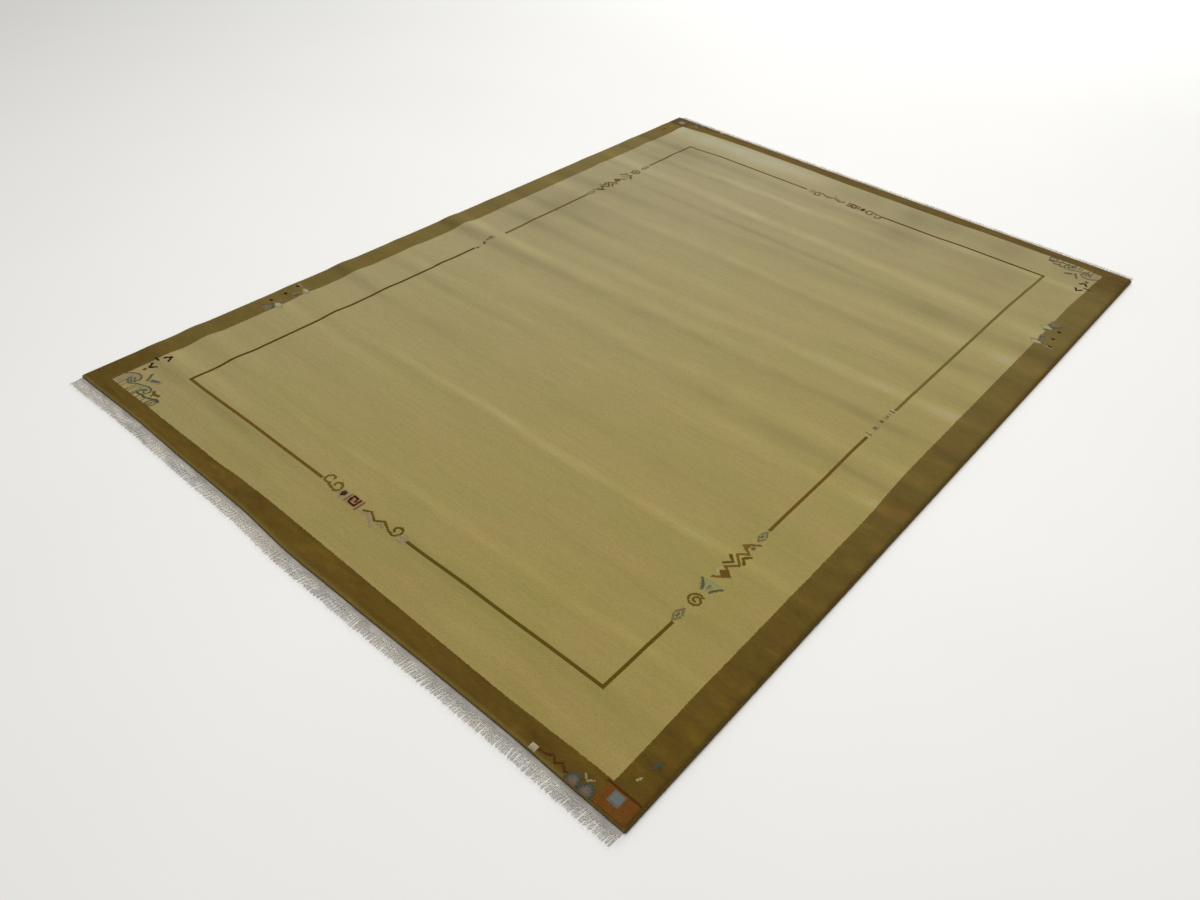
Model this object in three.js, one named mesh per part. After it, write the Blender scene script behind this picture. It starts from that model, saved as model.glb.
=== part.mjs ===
// A hand-knotted wool pile rug, lying flat on a floor, with a flat-woven band and a short warp fringe
// at each short end. Sizes are in millimetres. +X runs across the rug, +Y along it, and +Z up.
// The origin is the middle of the rug on the floor.
import * as THREE from 'three';

// Pile cloth
const PILE_WIDTH = 1700;
const LEFT_SIDE_LENGTH = 2318;
const RIGHT_SIDE_LENGTH = 2293;
const THICKNESS = 12;
const WIDEST_STEP = 190;

// Cross-section of the cloth from a long side inwards: the low round overcast edge, then the pile.
const SIDE_SECTION = [
  { inset: 0, height: 3.5 },
  { inset: 3.5, height: 6.5 },
  { inset: 7, height: 6 },
  { inset: 11, height: THICKNESS },
  { inset: 74, height: THICKNESS },
  { inset: 200, height: THICKNESS },
  { inset: 400, height: THICKNESS },
];

// Shoulder of the pile at a short end, from the end inwards.
const END_SECTION = [
  { inset: 0, height: 8.5 },
  { inset: 5, height: THICKNESS },
];

// Low cross-wise ripples in which the cloth stands off the floor. Each is highest at the left side and
// fades to the right with the given power.
const RIPPLES = [
  { along: -978, halfWidth: 48, left: 3.0, right: 0.3, fade: 6 },
  { along: -869, halfWidth: 56, left: 6.2, right: 0.8, fade: 5 },
  { along: -576, halfWidth: 58, left: 3.4, right: 1.6, fade: 1 },
  { along: -408, halfWidth: 56, left: 7.5, right: 0.5, fade: 12 },
  { along: -207, halfWidth: 44, left: 2.4, right: 1.0, fade: 4 },
  { along: -6, halfWidth: 54, left: 7.0, right: 1.5, fade: 3 },
  { along: 165, halfWidth: 60, left: 1.2, right: 1.4, fade: 1 },
  { along: 622, halfWidth: 56, left: 2.6, right: 0.6, fade: 5 },
  { along: 862, halfWidth: 48, left: 3.2, right: 1.2, fade: 8 },
  { along: 1052, halfWidth: 44, left: 2.4, right: 0.4, fade: 6 },
];
const RIPPLE_STEPS = [-1, -0.5, 0, 0.5, 1];

// The taut cord in a long side holds the edge down to this share of a ripple, up to this far in.
const CORD_HOLD = { share: 0.35, inset: 74 };

// End finishes
const GAP = 0.3;
const BAND_DEPTH = 12;
const BAND_THICKNESS = 2.6;
const BAND_SHORT_OF_SIDE = 5;
const LOCKS_PER_END = 150;
const LOCKS_BETWEEN_JOINTS = 10;
const LOCK_ROOT_WIDTH = 5.6;
const LOCK_TIP_WIDTH = 2.6;
const LOCK_LENGTH = 18;
const LOCK_LENGTH_SPREAD = 2;
const LOCK_TIP_THICKNESS = 1.6;
const LOCK_LEAN = 3;
const LOCK_LEAN_TURN = 0.21;
const LOCK_STRAY = 1.1;
const LOCK_BEND = 0.55;
const LOCK_SLOPE = 0.16;
const SCATTER = { perLock: 12.9898, perKind: 78.233, spread: 43758.5453 };

const woolPile = new THREE.MeshStandardMaterial({ color: 0xa89868, roughness: 0.95, metalness: 0 });
const cottonWarp = new THREE.MeshStandardMaterial({ color: 0xb4aca0, roughness: 0.9, metalness: 0 });

const halfWidth = PILE_WIDTH / 2;
const middleHalfLength = (LEFT_SIDE_LENGTH + RIGHT_SIDE_LENGTH) / 4;

// Half the length of the pile cloth at a place across it.
function halfLengthAt(x) {
  const share = (x + halfWidth) / PILE_WIDTH;
  return THREE.MathUtils.lerp(LEFT_SIDE_LENGTH, RIGHT_SIDE_LENGTH, share) / 2;
}

// Height by which the ripples lift the cloth off the floor.
function lift(x, along) {
  const fromLeft = (x + halfWidth) / PILE_WIDTH;
  const fromCord = Math.min((halfWidth - Math.abs(x)) / CORD_HOLD.inset, 1);
  const held = THREE.MathUtils.lerp(CORD_HOLD.share, 1, fromCord);
  let height = 0;
  for (const ripple of RIPPLES) {
    const offset = Math.abs(along - ripple.along) / ripple.halfWidth;
    if (offset < 1) {
      const crest = ripple.right + (ripple.left - ripple.right) * (1 - fromLeft) ** ripple.fade;
      height += (held * crest * (1 + Math.cos(Math.PI * offset))) / 2;
    }
  }
  return height;
}

// Places across the cloth, with the height of the section at each.
function stationsAcross() {
  const left = SIDE_SECTION.map(({ inset, height }) => ({ x: inset - halfWidth, height }));
  const right = SIDE_SECTION.map(({ inset, height }) => ({ x: halfWidth - inset, height })).reverse();
  return [...left, { x: 0, height: THICKNESS }, ...right];
}

// Places along the cloth: the two ends, each ripple, and steps across the long flat stretches.
function stationsAlong() {
  const known = [];
  for (const { inset, height } of END_SECTION) {
    known.push({ along: inset - middleHalfLength, height });
    known.push({ along: middleHalfLength - inset, height });
  }
  for (const ripple of RIPPLES) {
    for (const step of RIPPLE_STEPS) {
      known.push({ along: ripple.along + step * ripple.halfWidth, height: THICKNESS });
    }
  }
  known.sort((a, b) => a.along - b.along);
  const stations = [known[0]];
  for (const next of known.slice(1)) {
    const last = stations[stations.length - 1];
    const steps = Math.ceil((next.along - last.along) / WIDEST_STEP);
    for (let step = 1; step < steps; step++) {
      const along = THREE.MathUtils.lerp(last.along, next.along, step / steps);
      stations.push({ along, height: THICKNESS });
    }
    stations.push(next);
  }
  return stations;
}

// Points and faces of one closed body, gathered and handed over as a geometry.
function bodyUnderWay() {
  const points = [];
  const faces = [];
  const point = (x, y, z) => points.push(x, y, z) / 3 - 1;
  const face = (a, b, c) => faces.push(a, b, c);
  const quad = (a, b, c, d) => faces.push(a, b, c, a, c, d);
  const geometry = () => {
    const body = new THREE.BufferGeometry();
    body.setAttribute('position', new THREE.Float32BufferAttribute(points, 3));
    body.setIndex(faces);
    return body;
  };
  return { point, face, quad, geometry };
}

// The pile cloth: an under and an upper grid of points with one outline, joined by a wall.
function pileCloth() {
  const { point, quad, geometry } = bodyUnderWay();
  const across = stationsAcross();
  const along = stationsAlong();
  const gridAt = (section) => along.map((row) => across.map((column) => {
    const y = (row.along * halfLengthAt(column.x)) / middleHalfLength;
    return point(column.x, y, lift(column.x, row.along) + section(row, column));
  }));
  const under = gridAt(() => 0);
  const upper = gridAt((row, column) => Math.min(row.height, column.height));
  const lastRow = along.length - 1;
  const lastColumn = across.length - 1;
  for (let r = 0; r < lastRow; r++) {
    for (let c = 0; c < lastColumn; c++) {
      quad(upper[r][c], upper[r][c + 1], upper[r + 1][c + 1], upper[r + 1][c]);
      quad(under[r][c], under[r + 1][c], under[r + 1][c + 1], under[r][c + 1]);
    }
    quad(under[r][0], upper[r][0], upper[r + 1][0], under[r + 1][0]);
    quad(under[r][lastColumn], under[r + 1][lastColumn], upper[r + 1][lastColumn], upper[r][lastColumn]);
  }
  for (let c = 0; c < lastColumn; c++) {
    quad(under[0][c], under[0][c + 1], upper[0][c + 1], upper[0][c]);
    quad(under[lastRow][c], upper[lastRow][c], upper[lastRow][c + 1], under[lastRow][c + 1]);
  }
  return geometry();
}

// A repeatable number from -1 to 1 that differs from lock to lock.
function uneven(lock, kind) {
  const scattered = Math.sin(lock * SCATTER.perLock + kind * SCATTER.perKind) * SCATTER.spread;
  return 2 * (scattered - Math.floor(scattered)) - 1;
}

// Sections of one lock of fringe, from its root in the band to its tip.
function lockSections(root, seed) {
  const length = LOCK_LENGTH + LOCK_LENGTH_SPREAD * uneven(seed, 1);
  const lean = LOCK_LEAN * Math.sin(seed * LOCK_LEAN_TURN) + LOCK_STRAY * uneven(seed, 2);
  const curl = (LOCK_STRAY / 2) * uneven(seed, 3);
  return [0, LOCK_BEND, 1].map((share) => ({
    x: root + lean * share + (share === LOCK_BEND ? curl : 0),
    out: BAND_DEPTH + length * share,
    width: THREE.MathUtils.lerp(LOCK_ROOT_WIDTH, LOCK_TIP_WIDTH, share),
    thickness: THREE.MathUtils.lerp(BAND_THICKNESS, LOCK_TIP_THICKNESS, share),
  }));
}

// One end finish: a flat-woven band 0.3 mm off the pile, with its locks of fringe level on the floor and
// thinner towards their tips. It is made as the far one; the near one is that turned half round.
function endFinish(end) {
  const { point, face, quad, geometry } = bodyUnderWay();
  const reach = halfWidth - BAND_SHORT_OF_SIDE;
  const pitch = (2 * reach) / LOCKS_PER_END;
  const place = (x, out, z) => point(end * x, end * (halfLengthAt(end * x) + GAP + out), z);
  const column = (x, out, thickness, narrowing = 0) => ({
    x,
    under: place(x, out, 0),
    upper: place(x + narrowing, out, thickness),
  });

  // Inner edge of the band, with a joint every few locks, and the band's two outer corners
  const inner = [];
  for (let lock = 0; lock <= LOCKS_PER_END; lock += LOCKS_BETWEEN_JOINTS) {
    inner.push(column(lock * pitch - reach, 0, BAND_THICKNESS));
  }
  const outer = [column(-reach, BAND_DEPTH, BAND_THICKNESS)];

  // Locks, each with a narrower upper face
  for (let lock = 0; lock < LOCKS_PER_END; lock++) {
    const root = (lock + 0.5) * pitch - reach;
    const seed = lock + (end + 1) * LOCKS_PER_END;
    const sides = lockSections(root, seed).map(({ x, out, width, thickness }) => [
      column(x - width / 2, out, thickness, width * LOCK_SLOPE),
      column(x + width / 2, out, thickness, -width * LOCK_SLOPE),
    ]);
    for (let s = 0; s < sides.length - 1; s++) {
      const [left, right] = sides[s];
      const [nextLeft, nextRight] = sides[s + 1];
      quad(left.upper, right.upper, nextRight.upper, nextLeft.upper);
      quad(left.under, nextLeft.under, nextRight.under, right.under);
      quad(nextLeft.under, left.under, left.upper, nextLeft.upper);
      quad(right.under, nextRight.under, nextRight.upper, right.upper);
    }
    const [tipLeft, tipRight] = sides[sides.length - 1];
    quad(tipRight.under, tipLeft.under, tipLeft.upper, tipRight.upper);
    outer.push(...sides[0]);
  }
  outer.push(column(reach, BAND_DEPTH, BAND_THICKNESS));

  // Band faces, stepped along its two edges in turn
  let i = 0;
  let o = 0;
  while (i < inner.length - 1 || o < outer.length - 1) {
    const outerNext = i === inner.length - 1 || (o < outer.length - 1 && outer[o + 1].x < inner[i + 1].x);
    const apex = outerNext ? outer[o + 1] : inner[i + 1];
    face(inner[i].upper, apex.upper, outer[o].upper);
    face(inner[i].under, outer[o].under, apex.under);
    if (outerNext) o++;
    else i++;
  }

  // Walls of the band: along the pile, between the locks, and at its two ends
  for (let joint = 0; joint < inner.length - 1; joint++) {
    const next = inner[joint + 1];
    quad(inner[joint].under, next.under, next.upper, inner[joint].upper);
  }
  for (let gap = 0; gap < outer.length; gap += 2) {
    quad(outer[gap + 1].under, outer[gap].under, outer[gap].upper, outer[gap + 1].upper);
  }
  const innerLast = inner[inner.length - 1];
  const outerLast = outer[outer.length - 1];
  quad(outer[0].under, inner[0].under, inner[0].upper, outer[0].upper);
  quad(innerLast.under, outerLast.under, outerLast.upper, innerLast.upper);
  return geometry();
}

// A named mesh with its normals worked out from its faces.
function piece(name, geometry, material) {
  geometry.computeVertexNormals();
  const mesh = new THREE.Mesh(geometry, material);
  mesh.name = name;
  return mesh;
}

const rug = new THREE.Group();
rug.add(piece('rug_body', pileCloth(), woolPile));
rug.add(piece('fringe_near', endFinish(-1), cottonWarp));
rug.add(piece('fringe_far', endFinish(1), cottonWarp));

export default rug;
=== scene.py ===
# %% [markdown]
# # A hand-knotted wool rug
# This file dresses a plain solid model of a rug, piece by piece, in the order in which a weaver would
# meet the pieces: the pile cloth, the coloured knots of its pattern, the cord round which its long
# sides are overcast, the flat-woven band at each end, and the fringe of warp ends.
# Every cell that makes something is preceded by a note such as this one. The note says what the piece
# is on the real rug, how it could be made in Blender, and why one way was taken.

# %% [markdown]
# ## The frame
# The solid model comes first. It gives the rug's true size and place, and every piece made here is
# measured from it. The box of the whole model is kept, and the main sizes are taken from it.

import math

import bpy
from mathutils import Matrix, Vector, noise


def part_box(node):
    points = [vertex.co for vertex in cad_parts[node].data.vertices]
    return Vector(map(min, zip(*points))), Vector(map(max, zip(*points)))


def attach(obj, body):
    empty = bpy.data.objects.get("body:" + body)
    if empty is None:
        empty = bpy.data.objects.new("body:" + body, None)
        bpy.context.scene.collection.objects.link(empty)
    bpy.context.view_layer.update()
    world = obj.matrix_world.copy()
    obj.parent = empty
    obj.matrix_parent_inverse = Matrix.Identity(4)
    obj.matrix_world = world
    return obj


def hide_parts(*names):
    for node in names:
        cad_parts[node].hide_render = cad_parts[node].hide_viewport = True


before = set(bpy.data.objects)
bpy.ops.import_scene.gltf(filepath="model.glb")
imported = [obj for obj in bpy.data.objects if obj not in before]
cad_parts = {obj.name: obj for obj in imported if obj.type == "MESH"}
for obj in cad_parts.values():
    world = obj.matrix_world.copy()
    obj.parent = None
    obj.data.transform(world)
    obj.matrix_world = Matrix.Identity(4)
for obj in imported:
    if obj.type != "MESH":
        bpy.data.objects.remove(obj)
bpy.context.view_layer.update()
body_low, body_high = (Vector(corner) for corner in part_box("rug_body"))
print("nodes:", sorted(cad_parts))
print("cloth, in metres:", tuple(round(side, 4) for side in body_high - body_low))

# %% [markdown]
# ## Sizes
# A rug is made in small units, so the sizes below are in millimetres and one factor turns them into
# metres. The solid model gives the width and the length of the left side, and the right side is a
# little shorter. The pattern was drawn straight on the loom, and all of its places are given in loom
# measure: across from the middle, and along from the middle.

# %% The main sizes
MM = 0.001
HALF_WIDTH = (body_high.x - body_low.x) / 2 / MM
LEFT_HALF_LENGTH = (body_high.y - body_low.y) / 2 / MM
RIGHT_END_INSET = 12.5
RIGHT_HALF_LENGTH = LEFT_HALF_LENGTH - RIGHT_END_INSET
HALF_LENGTH = (LEFT_HALF_LENGTH + RIGHT_HALF_LENGTH) / 2
THICKNESS = 12
KNOT = 2.4
BORDER_ACROSS = 775.5
BORDER_ALONG = 1104
LINE_ACROSS = 644.5
LINE_ALONG = 977.5
LINE_WIDTH = 3 * KNOT
BAND_DEPTH = 10.2
BAND_THICKNESS = 2.6
BAND_INSET = 5
BAND_REACH = HALF_WIDTH - BAND_INSET
print(f"loom size {2 * HALF_WIDTH:.0f} by {2 * HALF_LENGTH:.0f} mm, {KNOT} mm a knot")

# %% [markdown]
# ## Floor, light and camera
# The rug lies on a plain pale floor under soft studio light. One large lamp stands beyond the far end
# and grazes the pile, because low light across a cut pile is what shows that it is cloth. The pale
# world fills the shadows. The camera stands off the near right corner and looks down over the rug.
# The colour transform is the plain one, so that a yarn's colour can be chosen as it will be seen.

# %% Camera
CAMERA_PLACE = Vector((1.2574, -1.7345, 1.3801))
CAMERA_HEADING = math.radians(39.9465)
CAMERA_TILT = math.radians(49.4118)
CAMERA_ROLL = math.radians(2.5381)
CAMERA_LENS = 28.33

camera_data = bpy.data.cameras.new("camera")
camera_data.lens = CAMERA_LENS
camera = bpy.data.objects.new("camera", camera_data)
turn = Matrix.Rotation(CAMERA_HEADING, 4, "Z") @ Matrix.Rotation(CAMERA_TILT, 4, "X")
turn = turn @ Matrix.Rotation(CAMERA_ROLL, 4, "Z")
camera.matrix_world = Matrix.Translation(CAMERA_PLACE) @ turn
bpy.context.scene.collection.objects.link(camera)
bpy.context.scene.camera = camera
bpy.context.scene.view_settings.view_transform = "Standard"
print("camera at", tuple(round(c, 3) for c in camera.location))


# %% Lamps and world
def soft_lamp(name, place, size, power, colour):
    """A large lamp that is aimed at the middle of the rug."""
    lamp_data = bpy.data.lights.new(name, "AREA")
    lamp_data.shape = "RECTANGLE"
    lamp_data.size, lamp_data.size_y = size
    lamp_data.energy = power
    lamp_data.color = colour
    lamp = bpy.data.objects.new(name, lamp_data)
    lamp.location = place
    lamp.rotation_mode = "QUATERNION"
    lamp.rotation_quaternion = (-Vector(place)).to_track_quat("-Z", "Y")
    bpy.context.scene.collection.objects.link(lamp)


soft_lamp("far_window", place=(-2.2, 6.4, 2.9), size=(5.0, 2.5), power=292, colour=(0.98, 0.99, 0.98))
soft_lamp("ceiling", place=(0.2, -0.2, 3.8), size=(3.6, 3.6), power=97, colour=(1.0, 0.99, 0.96))

WORLD_STRENGTH = 0.372
world = bpy.data.worlds.new("studio")
world.use_nodes = True
world.node_tree.nodes["Background"].inputs["Color"].default_value = (1.0, 1.0, 1.0, 1.0)
world.node_tree.nodes["Background"].inputs["Strength"].default_value = WORLD_STRENGTH
bpy.context.scene.world = world

# %% [markdown]
# ## Nodes from Python
# Materials and Geometry Nodes are both trees of nodes. Two small helpers keep them readable. A `Wire`
# is one socket that can be used in sums, so that `1 - mask` adds a Math node. A `Net` adds any other
# node in one call, with its settings, the values or wires of its sockets, and the output wanted.


# %% Wire and Net
class Wire:
    """A socket of a node tree. A sum on wires adds its Math nodes."""

    def __init__(self, net, node, out):
        self.net = net
        self.node = node
        self.socket = node.outputs[out] if len(node.outputs) else None

    def other(self, out):
        return Wire(self.net, self.node, out)

    def __add__(self, value):
        return self.net.maths("ADD", self, value)

    def __radd__(self, value):
        return self.net.maths("ADD", value, self)

    def __sub__(self, value):
        return self.net.maths("SUBTRACT", self, value)

    def __rsub__(self, value):
        return self.net.maths("SUBTRACT", value, self)

    def __mul__(self, value):
        return self.net.maths("MULTIPLY", self, value)

    def __rmul__(self, value):
        return self.net.maths("MULTIPLY", value, self)

    def __abs__(self):
        return self.net.maths("ABSOLUTE", self)


class Net:
    """A node tree under construction."""

    def __init__(self, tree):
        self.tree = tree

    def plug(self, socket, value):
        if isinstance(value, Wire):
            self.tree.links.new(value.socket, socket)
        else:
            socket.default_value = value

    def add(self, kind, settings=None, sockets=None, out=0):
        node = self.tree.nodes.new(kind)
        for name, value in (settings or {}).items():
            setattr(node, name, value)
        for name, value in (sockets or {}).items():
            self.plug(node.inputs[name], value)
        return Wire(self, node, out)

    def maths(self, operation, *values):
        return self.add("ShaderNodeMath", {"operation": operation}, dict(enumerate(values)))

    def vector_maths(self, operation, *values, **named):
        sockets = {**dict(enumerate(values)), **named}
        return self.add("ShaderNodeVectorMath", {"operation": operation}, sockets)

    def x_and_y(self, vector):
        x = self.add("ShaderNodeSeparateXYZ", None, {0: vector}, "X")
        return x, x.other("Y")


# %% Helpers that the materials share
def srgb(red, green, blue):
    """A colour given as it looks on a screen, 0 to 255, as the linear colour that shaders use."""
    linear = []
    for part in (red, green, blue):
        share = part / 255
        linear.append(share / 12.92 if share <= 0.04045 else ((share + 0.055) / 1.055) ** 2.4)
    return (*linear, 1.0)


class Finish(Net):
    """A material with one Principled shader, whose other nodes are added through Net."""

    def __init__(self, name, **constants):
        self.material = bpy.data.materials.new(name)
        self.material.use_nodes = True
        super().__init__(self.material.node_tree)
        self.shader = self.tree.nodes["Principled BSDF"]
        for socket, value in constants.items():
            self.shader.inputs[socket.replace("_", " ")].default_value = value

    def drive(self, socket, wire):
        self.plug(self.shader.inputs[socket], wire)

    def attribute(self, name, out="Vector"):
        return self.add("ShaderNodeAttribute", {"attribute_name": name}, out=out)

    def object_place(self):
        return self.add("ShaderNodeTexCoord", out="Object")

    def stretched(self, vector, scale):
        return self.add("ShaderNodeMapping", None, {"Vector": vector, "Scale": scale})

    def noise(self, vector, scale, detail=2.0, roughness=0.5):
        sockets = {"Vector": vector, "Scale": scale, "Detail": detail, "Roughness": roughness}
        return self.add("ShaderNodeTexNoise", None, sockets)

    def ramp(self, value, low, high):
        """Goes smoothly from nought to one while the value goes from low to high."""
        sockets = {"Value": value, "From Min": low, "From Max": high}
        return self.add("ShaderNodeMapRange", {"interpolation_type": "SMOOTHSTEP"}, sockets)

    def mix(self, share, first, second):
        return self.add("ShaderNodeMix", {"data_type": "RGBA"}, {0: share, 6: first, 7: second}, 2)

    def shade(self, colour, factor):
        if not isinstance(colour, Wire):
            colour = colour[:3]
        return self.vector_maths("SCALE", colour, Scale=factor)

    def bump(self, height, distance, strength=1.0, under=None):
        sockets = {"Height": height, "Distance": distance, "Strength": strength}
        if under is not None:
            sockets["Normal"] = under
        return self.add("ShaderNodeBump", None, sockets)


print("a mid straw in linear light:", tuple(round(c, 3) for c in srgb(155, 139, 92)))

# %% [markdown]
# ## The floor
# A floor needs no modelling beyond one large face. It is kept apart from the rug's body, so that it isn't
# taken for a piece of the rug. It lies a hair under the rug, and a faint mottle keeps it from looking like
# paper.

# %% Make the floor
FLOOR_REACH = 14
FLOOR_DROP = 0.0004

floor_finish = Finish("floor_plaster", Roughness=0.9)
floor_mottle = floor_finish.noise(floor_finish.object_place(), 1.5, 3.0)
floor_colour = floor_finish.mix(floor_mottle, srgb(236, 235, 232), srgb(241, 240, 238))
floor_finish.drive("Base Color", floor_colour)
floor_mesh = bpy.data.meshes.new("floor")
floor_mesh.from_pydata(
    [(x * FLOOR_REACH, y * FLOOR_REACH, -FLOOR_DROP) for x, y in ((-1, -1), (1, -1), (1, 1), (-1, 1))],
    [],
    [(0, 1, 2, 3)],
)
floor_mesh.materials.append(floor_finish.material)
floor = bpy.data.objects.new("floor", floor_mesh)
bpy.context.scene.collection.objects.link(floor)
print("floor reaches", FLOOR_REACH, "m")

# %% [markdown]
# ## How the rug lies
# The pattern was straight on the loom, but a rug that comes off the loom pulls a little out of square:
# its ends aren't quite parallel, and its near end and its border lines wander by some millimetres. It
# could be shown by bending the pattern in the shader, but then the pattern and the knots would have to
# agree by luck. Here one function moves a loom place to its place on the floor, and every piece is laid
# with it. The cloth keeps its loom measure as an attribute, and patterns are painted by that.

# %% How far the lines wander
# Each table gives how far a line of the pattern lies off its straight place, by its place along it
LEFT_BORDER_OFF = {
    -1104: 0, -750: 2, -500: 2.8, -265: 2.4, -80: 6, 85: 6.5, 250: 4.4, 505: 2, 840: 2, 1007: 2.5, 1104: 0,
}
LEFT_LINE_OFF = {-977: 2.2, -400: 2.4, -165: 3.9, -80: 4, 85: 2.5, 250: 0.3, 420: -0.6, 977: 0.2}
RIGHT_LINE_OFF = {-977: 7.6, -600: 6.9, -250: 4, -100: 0.1, 700: -0.2, 977: 5.6}
RIGHT_BORDER_OFF = {
    -1104: 6.5, -830: 3.4, -600: 3.1, -330: 2.4, -80: -5.4, 600: -5.8, 850: -6.3, 1020: -1.5, 1104: 2.5,
}
NEAR_BORDER_OFF = {-760: -14.5, -600: -10.5, -350: -6.2, -250: -0.5, -150: 2, 500: 2, 770: 8.5}
NEAR_LINE_OFF = {-620: -14.5, -350: -9.3, -135: -7.6, 0: -7.5, 135: -6.6, 330: -2, 630: 2.3}
FAR_LINE_OFF = {-620: -12.2, -500: -4, -100: -7.2, 300: -8.4, 400: -3.2, 630: -3.2}
FAR_BORDER_OFF = {
    -760: -10.7, -650: 1, -500: 4.6, -250: 4.4, -100: -1.5, 300: -1.5, 400: 3.5, 700: 3.5, 770: -6.5,
}
# How far the near end of the pile comes out of its straight line, by the place across it
NEAR_END_OUT = {
    -850: 0, -600: -5, -400: -3.2, -200: -3.4, 0: 4.6, 200: 2.6, 400: -0.5, 600: -2.6, 760: -0.5, 850: 0,
}
print("near end wanders by", max(NEAR_END_OUT.values()) - min(NEAR_END_OUT.values()), "mm")


# %% From the loom to the floor
def smooth_between(table, place):
    """The value at a place, going smoothly from one row of the table to the next."""
    places = sorted(table)
    if place <= places[0]:
        return table[places[0]]
    for low, high in zip(places, places[1:]):
        if place <= high:
            share = (place - low) / (high - low)
            share = share * share * (3 - 2 * share)
            return table[low] + (table[high] - table[low]) * share
    return table[places[-1]]


def half_length_at(x):
    """Half of the rug's length, which falls from the left side to the right."""
    share = (x + HALF_WIDTH) / (2 * HALF_WIDTH)
    return LEFT_HALF_LENGTH + (RIGHT_HALF_LENGTH - LEFT_HALF_LENGTH) * share


def end_at(x, end):
    """How far the end of the pile lies from the middle of the rug, at the near end (-1) or the far (1)."""
    return half_length_at(x) + (smooth_between(NEAR_END_OUT, x) if end < 0 else 0)


def laid(across, along):
    """Where a place on the loom lies on the floor, in millimetres."""
    off_across = smooth_between(
        {
            -HALF_WIDTH: 0,
            -BORDER_ACROSS: smooth_between(LEFT_BORDER_OFF, along),
            -LINE_ACROSS: smooth_between(LEFT_LINE_OFF, along),
            0: 0,
            LINE_ACROSS: smooth_between(RIGHT_LINE_OFF, along),
            BORDER_ACROSS: smooth_between(RIGHT_BORDER_OFF, along),
            HALF_WIDTH: 0,
        },
        across,
    )
    off_along = smooth_between(
        {
            -HALF_LENGTH: HALF_LENGTH - end_at(across, -1),
            -BORDER_ALONG: smooth_between(NEAR_BORDER_OFF, across),
            -LINE_ALONG: smooth_between(NEAR_LINE_OFF, across),
            0: 0,
            LINE_ALONG: smooth_between(FAR_LINE_OFF, across),
            BORDER_ALONG: smooth_between(FAR_BORDER_OFF, across),
            HALF_LENGTH: end_at(across, 1) - HALF_LENGTH,
        },
        along,
    )
    return across + off_across, along + off_along


print("near right border corner lies at", tuple(round(c, 1) for c in laid(BORDER_ACROSS, -BORDER_ALONG)))

# %% [markdown]
# ## Ripples and clipping
# A rug that was rolled up lies with low ripples across it, where it stands a few millimetres off the
# floor. They are the same ripples as in the solid model: each is a raised cosine along the rug, highest
# at the left side, where only the taut cord in the edge holds them down. On top of them the shears
# leave the pile a little uneven. Height by a function, and not by a displacement texture, lets the
# knots of the pattern stand on the same surface as the cloth.

# %% Ripples in a table
def table(columns, *rows):
    """Rows of values, each under the named columns."""
    return [dict(zip(columns.split(), row)) for row in rows]


RIPPLES = table(
    "along half_width left right fade",
    (-978, 48, 3.0, 0.3, 6),
    (-869, 56, 6.2, 0.8, 5),
    (-576, 58, 3.4, 1.6, 1),
    (-408, 56, 7.5, 0.5, 12),
    (-207, 44, 2.4, 1.0, 4),
    (-6, 54, 7.0, 1.5, 3),
    (165, 60, 1.2, 1.4, 1),
    (622, 56, 2.6, 0.6, 5),
    (862, 48, 3.2, 1.2, 8),
    (1052, 44, 2.4, 0.4, 6),
)
CORD_HOLD_SHARE = 0.35
CORD_HOLD_INSET = 74
print(len(RIPPLES), "ripples")

# %% Height of the cloth
CLIP_WAVES = table("length height layer", (160, 0.30, 0), (55, 0.16, 7.3), (21, 0.10, 14.6))
CLIP_UNDER = 0.3


def share_from_left(x):
    """Nought at the left side of the rug, one at the right."""
    return min(max((x + HALF_WIDTH) / (2 * HALF_WIDTH), 0), 1)


def raised_cosine(offset):
    """One in the middle, falling smoothly to nought at an offset of one."""
    return (1 + math.cos(math.pi * offset)) / 2


def lift(x, y):
    """Height by which the ripples lift the cloth off the floor."""
    along = y * HALF_LENGTH / half_length_at(x)
    from_left = share_from_left(x)
    from_cord = min(max(HALF_WIDTH - abs(x), 0) / CORD_HOLD_INSET, 1)
    held = CORD_HOLD_SHARE + (1 - CORD_HOLD_SHARE) * from_cord
    height = 0
    for ripple in RIPPLES:
        offset = abs(along - ripple["along"]) / ripple["half_width"]
        if offset < 1:
            fall = (1 - from_left) ** ripple["fade"]
            crest = ripple["right"] + (ripple["left"] - ripple["right"]) * fall
            height += held * crest * raised_cosine(offset)
    return height


def clipping(x, y):
    """Unevenness that the shears leave in the pile, a little under the full height."""
    height = -CLIP_UNDER
    for wave in CLIP_WAVES:
        place = Vector((x / wave["length"], y / wave["length"], wave["layer"]))
        height += wave["height"] * noise.noise(place)
    return min(height, 0)


# Height of the cloth's section by how far in from the side, and from the end
SIDE_SHOULDER = {3.6: 4.2, 5: 7.4, 6.5: 9.3, 8.5: 10.9, 11: 11.7, 15: THICKNESS}
END_SHOULDER = {0: 7.8, 0.8: 9.6, 2.2: 11.0, 4.6: 11.8, 8: THICKNESS}


def pile_top(across, along):
    """Height of the pile's surface over the floor at a place on the loom."""
    x, y = laid(across, along)
    side = smooth_between(SIDE_SHOULDER, HALF_WIDTH - abs(across))
    end = smooth_between(END_SHOULDER, HALF_LENGTH - abs(along))
    return lift(x, y) + min(side, end) + clipping(x, y)


highest = max(lift(-HALF_WIDTH, y) for y in range(-round(HALF_LENGTH), round(HALF_LENGTH)))
print("highest ripple at the left side:", round(highest, 1), "mm")
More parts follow.
